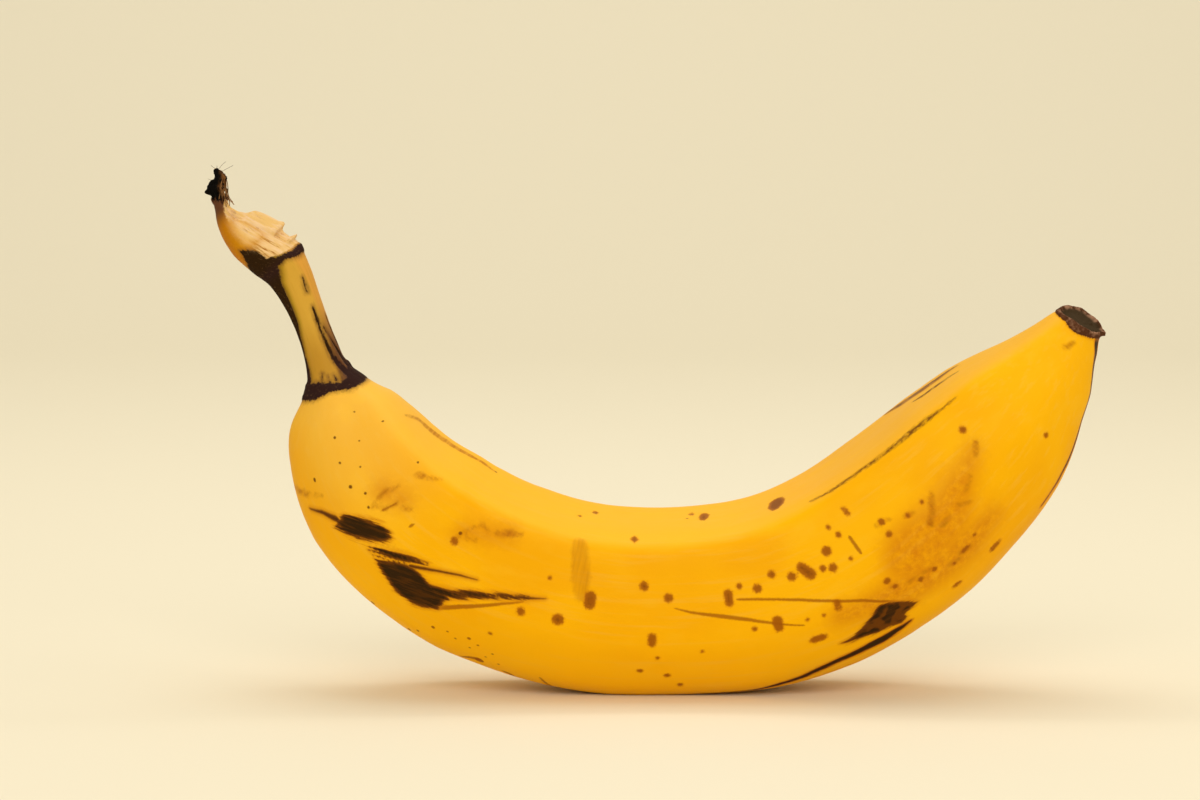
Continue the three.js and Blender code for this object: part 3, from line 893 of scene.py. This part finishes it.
# olive fading into the shaded outer side is painted shade
stemColour = side.between(0.1, 1.7).paint(look["stemOlive"], look["stemMustard"])
stemColour = stemSide.between(0.5, 0.85).paint(stemColour, look["stemTan"])
stemColour = (alongMm.between(34.0, 43.0) * 0.6).paint(stemColour, look["stemLow"])
lowStem = alongMm.between(31.0, 41.0) * stemSide.between(0.45, 0.7)
stemColour = (lowStem * (0.5 + 0.8 * grainy)).paint(stemColour, look["stemPurple"])
stemColour = (streaks.between(0.5, 0.75) * 0.25).paint(stemColour, look["stemOlive"])
onStem = alongMm.between(49.5, 47.0)
colour = onStem.paint(colour, stemColour)

# skin left between the torn flesh and the dark side of the stem
nearTip = alongMm.between(21.0, 17.0)
tipSkin = alongMm.between(7.5, 11.0).paint(look["stemPurple"], look["tipBrown"])
tipSkin = (frontMm - 2.2).between(0.2, 3.0).paint(tipSkin, look["tipYellow"])
tipSkin = alongMm.between(15.0, 18.5).paint(tipSkin, look["tipBrown"])
colour = nearTip.paint(colour, tipSkin)

# charred collar and ring, and painted shade on the stem's outer side
charAndShadeEdge = gapOf("charAndShadeGap") + (grainy - 0.5) * 1.1 + ragged * 0.9
charAndShadeTone = alongMm.between(23.0, 26.0).paint(look["charAndShadePurple"], look["charAndShadeOlive"])
charAndShadeTone = alongMm.between(40.0, 45.0).paint(charAndShadeTone, look["charAndShadePurple"])
besideTear = (frontMm - innerMm).between(0.5, 3.0) * alongMm.between(24.0, 21.0)
charAndShadeTone = besideTear.paint(charAndShadeTone, look["charAndShadeOlive"])
cracks = placeMm.grain((1.3, 1.3, 2.4), 4.0, 0.75, 0.6)
charAndShadeTone = (cracks.between(0.58, 0.66) * 0.35).paint(charAndShadeTone, look["charCrack"])
colour = ((charAndShadeEdge - 0.4).inside(1.2) * 0.6).paint(colour, look["stemPurple"])
colour = charAndShadeEdge.inside(0.3).paint(colour, charAndShadeTone)

# torn flesh
fibreWay = leaning(-0.56)
fibres = fibreWay.grain((0.13, 0.8, 1.5), 3.0, 0.6)
thinFibres = fibreWay.grain((0.22, 1.8, 4.2), 2.0, 0.6)
flesh = fibres.between(0.4, 0.68).paint(look["tornPeach"], look["tornPale"])
flesh = (thinFibres.between(0.54, 0.68) * 0.12).paint(flesh, look["knobBark"])
lowRight = placeMm.vector("DISTANCE", (-72.6, -3.0, 84.6), out=1).between(5.0, 1.0)
flesh = (fibres.between(0.47, 0.36) * lowRight).paint(flesh, look["tornBrown"])
tornEdge = gapOf("tornGap") + (fine - 0.5) * 0.7
softSide = frontMm.between(2.0, 4.5) * alongMm.between(19.0, 15.0)
softTear, sharpTear = softSide * tornEdge.inside(2.6), (1 - softSide) * tornEdge.inside(0.35)
colour = softTear.most(sharpTear).paint(colour, flesh)

# knob at the tip
bark = placeMm.grain((2.6, 2.6, 0.9), 4.0, 0.7, 0.4)
barkSide = innerMm.between(0.2, 1.6) * bark.between(0.42, 0.6)
knobTone = barkSide.paint(look["knobBlack"], look["knobBark"])
knobEdge = gapOf("knobGap") + (bark - 0.5) * 6.0
colour = knobEdge.inside(0.7).paint(colour, knobTone)

# dry cap
capEdge = gapOf("capGap") + (fine - 0.5) * 0.9
dish = gapOf("dishDepth")
rimHighlightBand = dish.between(0.0, 0.05) * dish.between(0.24, 0.14)
blotch = placeMm.grain((0.8, 0.8, 0.8), 3.0, 0.6)
capTone = dish.between(0.12, 0.22).paint(look["capBand"], look["capDish"])
# pale tan patches on the rim band and the dish's edge are painted highlights
capTone = (blotch.between(0.5, 0.7) * dish.between(0.22, 0.14) * 0.4).paint(capTone, look["capRimHighlight"])
capTone = (rimHighlightBand * blotch.between(0.4, 0.65) * 0.7).paint(capTone, look["capRimHighlight"])
capTone = ((1 - blotch.between(0.3, 0.45)) * 0.6).paint(capTone, look["bruiseCore"])
colour = ((capEdge - 0.3).inside(0.8) * 0.5).paint(colour, look["orangeBrown"])
colour = capEdge.inside(0.3).paint(colour, capTone)

dry = charAndShadeEdge.inside(0.5).most(capEdge.inside(0.5)).most(tornEdge.inside(0.5)).most(knobEdge.inside(0.5))
roughness = (look["roughness"] + (mottle - 0.5) * 0.25 + bruise.inside(0.6) * 0.1).most(dry * 0.85)
relief = mottle * 0.05 + fine * 0.012 + dry * (bark * 0.08 + cracks * 0.04)
normal = wire.node("ShaderNodeBump", {}, {"Strength": 0.6, "Distance": mm, "Height": relief})
finishMaterial(wire, colour, roughness, normal, {"Specular IOR Level": look["specular"]})
mesh.materials.append(peelMaterial)
print("peel material:", len(peelMaterial.node_tree.nodes), "nodes")

# loose strands: bark on the knob, hairs at its top and fluff along the torn edge
# sizes are in mm and angles in degrees; a pair is the least and the most that a strand may have
strandSets = {
    "barkStrands": {"count": 14, "thickness": 0.08, "wiggle": 0.8, "seed": 3, "taper": 0.75,
                    "colour": tone(150, 106, 62), "darkShare": 0.35, "start": (1.2, 4.5), "end": (5.6, 8.2),
                    "round": (-35, 70), "drift": (-15, 30), "lift": (-0.3, 0.0), "bulge": (0.0, 0.3)},
    # each hair: (mm along, degrees round, mm it reaches to the right, to the back and up)
    "tipHairs": {"hairs": ((1.0, 20, 2.1, 0.2, 1.2), (0.6, 40, 1.2, -0.4, 1.4),
                           (0.5, 150, -0.6, -0.2, 0.8), (4.2, 165, -1.1, -0.1, 0.25),
                           (1.8, 5, 1.0, 0.1, 0.3), (0.3, 90, 0.2, -0.5, 0.9), (2.6, 170, -0.7, 0, 0.35),
                           (5.4, 150, -0.5, -0.2, -0.4), (1.4, -90, 0.5, 0.9, 0.6)),
                 "thickness": 0.03, "wiggle": 0.48, "seed": 5, "taper": 0.85, "colour": tone(70, 46, 24),
                 "darkShare": 0.35, "rootLift": -1.2, "reachShare": 1.35, "sideCurl": (-0.3, 0.3),
                 "upCurl": (-0.5, 0.1)},
    "tornFluff": {"count": 46, "thickness": 0.05, "wiggle": 0.48, "seed": 8, "taper": 0.85,
                  "colour": tone(236, 196, 146), "darkShare": 0.75, "start": (8.5, 20.5), "round": (-30, 92),
                  "reach": (0.5, 1.6), "tilt": (0.05, 0.3)},
}


strandBuild = {"points": 9, "sides": 5, "wiggleScale": 900.0}  # the same in every set


def strandTree():
    tree = bpy.data.node_groups.new("loose strands", "GeometryNodeTree")
    tree.interface.new_socket("Geometry", in_out="INPUT", socket_type="NodeSocketGeometry")
    for socketName in ("Thickness", "Wiggle", "Taper", "Seed"):
        tree.interface.new_socket(socketName, in_out="INPUT", socket_type="NodeSocketFloat")
    tree.interface.new_socket("Finish", in_out="INPUT", socket_type="NodeSocketMaterial")
    tree.interface.new_socket("Geometry", in_out="OUTPUT", socket_type="NodeSocketGeometry")
    given = tree.nodes.new("NodeGroupInput")

    def add(kind, inputs, **settings):
        made = tree.nodes.new(kind)
        for key, value in settings.items():
            setattr(made, key, value)
        for key, value in inputs.items():
            if isinstance(value, bpy.types.NodeSocket):
                tree.links.new(value, made.inputs[key])
            else:
                made.inputs[key].default_value = value
        return made.outputs[0]

    curves = add("GeometryNodeMeshToCurve", {"Mesh": given.outputs["Geometry"]})
    curves = add("GeometryNodeResampleCurve", {"Curve": curves, "Count": strandBuild["points"]})
    place = add("GeometryNodeInputPosition", {})
    noiseNode = add("ShaderNodeTexNoise", {"Vector": place, "W": given.outputs["Seed"], "Detail": 0.0,
                                           "Scale": strandBuild["wiggleScale"]}, noise_dimensions="4D")
    noiseColour = noiseNode.node.outputs["Color"]
    centred = add("ShaderNodeVectorMath", {0: noiseColour, 1: (0.5, 0.5, 0.5)}, operation="SUBTRACT")
    along = add("GeometryNodeSplineParameter", {})
    amount = add("ShaderNodeMath", {0: given.outputs["Wiggle"], 1: along}, operation="MULTIPLY")
    offset = add("ShaderNodeVectorMath", {0: centred, "Scale": amount}, operation="SCALE")
    curves = add("GeometryNodeSetPosition", {"Geometry": curves, "Offset": offset})
    thinner = add("ShaderNodeMath", {0: given.outputs["Taper"], 1: along}, operation="MULTIPLY")
    radius = add("ShaderNodeMath", {0: 1.0, 1: thinner}, operation="SUBTRACT")
    curves = add("GeometryNodeSetCurveRadius", {"Curve": curves, "Radius": radius})
    ring = add("GeometryNodeCurvePrimitiveCircle", {"Resolution": strandBuild["sides"],
                                                    "Radius": given.outputs["Thickness"]})
    tubes = add("GeometryNodeCurveToMesh", {"Curve": curves, "Profile Curve": ring, "Fill Caps": True})
    tubes = add("GeometryNodeSetShadeSmooth", {"Geometry": tubes})
    tubes = add("GeometryNodeRealizeInstances", {"Geometry": tubes})
    tubes = add("GeometryNodeSetMaterial", {"Geometry": tubes, "Material": given.outputs["Finish"]})
    result = tree.nodes.new("NodeGroupOutput")
    tree.links.new(tubes, result.inputs[0])
    return tree


def makeStrands(name, findLines, tree):
    # findLines gives each strand as a list of places in mm; the tree adds thickness and wiggle
    sizes = strandSets[name]
    lines = findLines(sizes, random.Random(sizes["seed"]))
    guides = bpy.data.meshes.new(name + "Guides")
    points, edges = [], []
    for line in lines:
        edges += [(len(points) + one, len(points) + one + 1) for one in range(len(line) - 1)]
        points += [tuple(np.asarray(place) * mm) for place in line]
    guides.from_pydata(points, edges, [])
    material, strandWire = newMaterial(name + " fibre")
    coarse = strandWire.node("ShaderNodeTexCoord", {}, {}, 3).vector("MULTIPLY", (1 / mm,) * 3)
    dark = tuple(part * sizes["darkShare"] for part in sizes["colour"][:3]) + (1.0,)
    strandColour = coarse.grain((0.9, 0.9, 0.9), 2.0).between(0.38, 0.6).paint(dark, sizes["colour"])
    finishMaterial(strandWire, strandColour, 0.8, None, {"Specular IOR Level": 0.15})
    source = bpy.data.objects.new(name + "Source", guides)
    bpy.context.scene.collection.objects.link(source)
    modifier = source.modifiers.new("strands", "NODES")
    modifier.node_group = tree
    values = {"Thickness": sizes["thickness"] * mm, "Wiggle": sizes["wiggle"] * mm, "Taper": sizes["taper"],
              "Seed": float(sizes["seed"]), "Finish": material}
    for item in tree.interface.items_tree:
        if item.in_out == "INPUT" and item.name in values:
            modifier[item.identifier] = values[item.name]
    evaluated = source.evaluated_get(bpy.context.evaluated_depsgraph_get())
    strandMesh = bpy.data.meshes.new_from_object(evaluated)
    strandMesh.name = name
    bpy.data.objects.remove(source)
    strands = bpy.data.objects.new(name, strandMesh)
    bpy.context.scene.collection.objects.link(strands)
    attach(strands, "root")
    print(name + ":", len(lines), "strands,", len(strandMesh.polygons), "faces")


def onSkin(length, around, lifted):
    return skinPlace(length, around, lift=lifted)[0].reshape(3) + shift


def barkLines(sizes, chance):
    lines, steps = [], 7
    for _ in range(sizes["count"]):
        start, end, around, drift, lifted, bulge = (
            chance.uniform(*sizes[part]) for part in ("start", "end", "round", "drift", "lift", "bulge"))
        lines.append([onSkin(start + (end - start) * step / steps, around + drift * step / steps,
                             lifted + bulge * math.sin(math.pi * step / steps)) for step in range(steps + 1)])
    return lines


def hairLines(sizes, chance):
    lines = []
    for length, around, *reach in sizes["hairs"]:
        root = onSkin(length, around, sizes["rootLift"])
        curl = np.array([chance.uniform(*sizes[way]) for way in ("sideCurl", "sideCurl", "upCurl")])
        lines.append([root + np.array(reach) * sizes["reachShare"] * part + curl * part * part
                      for part in (0, 0.25, 0.5, 0.75, 1)])
    return lines


def fluffLines(sizes, chance):
    lines = []
    for _ in range(sizes["count"]):
        length, around = chance.uniform(*sizes["start"]), chance.uniform(*sizes["round"])
        row = int(np.argmin(np.abs(rings - length)))
        column = int(np.argmin(np.abs(wrapped(angles - around))))
        reach, tilt = chance.uniform(*sizes["reach"]), chance.uniform(*sizes["tilt"])
        along, out = tangentGrid[row, column], outward[row, column]
        lines.append([skinPoints[row, column] + (along * part + out * tilt * part * part) * reach
                      for part in (0, 0.33, 0.67, 1)])
    return lines


strandNodes = strandTree()
makeStrands("barkStrands", barkLines, strandNodes)
makeStrands("tipHairs", hairLines, strandNodes)
makeStrands("tornFluff", fluffLines, strandNodes)

# table, light and camera
studio = {
    "floorColour": tone(236, 228, 206),
    "wall": tone(238, 232, 214),
    "lightColour": (1, 0.97, 0.92),
    "worldStrength": 0.66,
    "keyPower": 3.7,
    "topPower": 2.7,
    "sidePower": 0.3,
    "wallPower": 20.0,
    "reach": 4.0,  # metres from the middle to the table's edges, and how high the wall goes
    "curveStart": 1.2,  # metres, where the table starts to turn up into the wall
    "curveRadius": 1.4,
    "curveSteps": 24,
}
floorMesh = bpy.data.meshes.new("table")
sweep = [(-studio["reach"], 0.0)]  # the table runs back and curves up into the wall
for step in range(studio["curveSteps"] + 1):
    turnUp = math.radians(90 * step / studio["curveSteps"])
    sweep.append((studio["curveStart"] + studio["curveRadius"] * math.sin(turnUp),
                  studio["curveRadius"] * (1 - math.cos(turnUp))))
sweep.append((sweep[-1][0], studio["reach"]))
floorMesh.from_pydata([(side * studio["reach"], y, z) for y, z in sweep for side in (-1, 1)], [],
                      [(2 * row, 2 * row + 1, 2 * row + 3, 2 * row + 2) for row in range(len(sweep) - 1)])
floorMesh.polygons.foreach_set("use_smooth", [True] * len(floorMesh.polygons))
floor = bpy.data.objects.new("table", floorMesh)
bpy.context.scene.collection.objects.link(floor)
tableMaterial, tableWire = newMaterial("pale table")
finishMaterial(tableWire, studio["floorColour"], 0.8, None, {"Specular IOR Level": 0.2})
floorMesh.materials.append(tableMaterial)

world = bpy.data.worlds.new("studio")
world.use_nodes = True
backdrop = world.node_tree.nodes["Background"]
backdrop.inputs["Color"].default_value = studio["wall"]
backdrop.inputs["Strength"].default_value = studio["worldStrength"]
bpy.context.scene.world = world


def softLight(name, size, power, place, aim):
    data = bpy.data.lights.new(name, "AREA")
    data.shape = "RECTANGLE"
    data.size, data.size_y = size
    data.energy = power
    data.color = studio["lightColour"]
    light = bpy.data.objects.new(name, data)
    light.location = place
    light.rotation_mode = "QUATERNION"
    light.rotation_quaternion = (Vector(aim) - Vector(place)).to_track_quat("-Z", "Y")
    bpy.context.scene.collection.objects.link(light)


middle = (0.0, 0.0, 0.045)
softLight("front panel", (0.8, 0.5), studio["keyPower"], (0.0, -0.85, 0.55), middle)
softLight("top panel", (0.9, 0.6), studio["topPower"], (0.05, 0.1, 0.85), middle)
softLight("side panel", (0.4, 0.6), studio["sidePower"], (0.8, -0.3, 0.35), middle)
softLight("wall panel", (2.4, 0.8), studio["wallPower"], (0.0, 0.7, 1.9), (0.0, 2.6, 0.5))

# lens in mm, degrees above level, metres away, and the aim as shares of the fruit's length and height
cameraView = {"lens": 85, "elevation": 4.0, "distance": 0.5383, "aimAcross": -0.0614, "aimUp": 0.559}
cameraData = bpy.data.cameras.new("camera")
cameraData.lens = cameraView["lens"]
cameraData.sensor_width = 36
cameraData.clip_start, cameraData.clip_end = 0.01, 20
camera = bpy.data.objects.new("camera", cameraData)
bpy.context.scene.collection.objects.link(camera)
elevation = math.radians(cameraView["elevation"])
aim = Vector((cameraView["aimAcross"] * fruitSize.x, 0, fruitLow.z + cameraView["aimUp"] * fruitSize.z))
back = Vector((0, -math.cos(elevation), math.sin(elevation)))
camera.location = aim + back * cameraView["distance"]
camera.rotation_mode = "QUATERNION"
camera.rotation_quaternion = (-back).to_track_quat("-Z", "Y")
bpy.context.scene.camera = camera
bpy.context.scene.view_settings.view_transform = "Standard"
print("table, lights and camera placed")
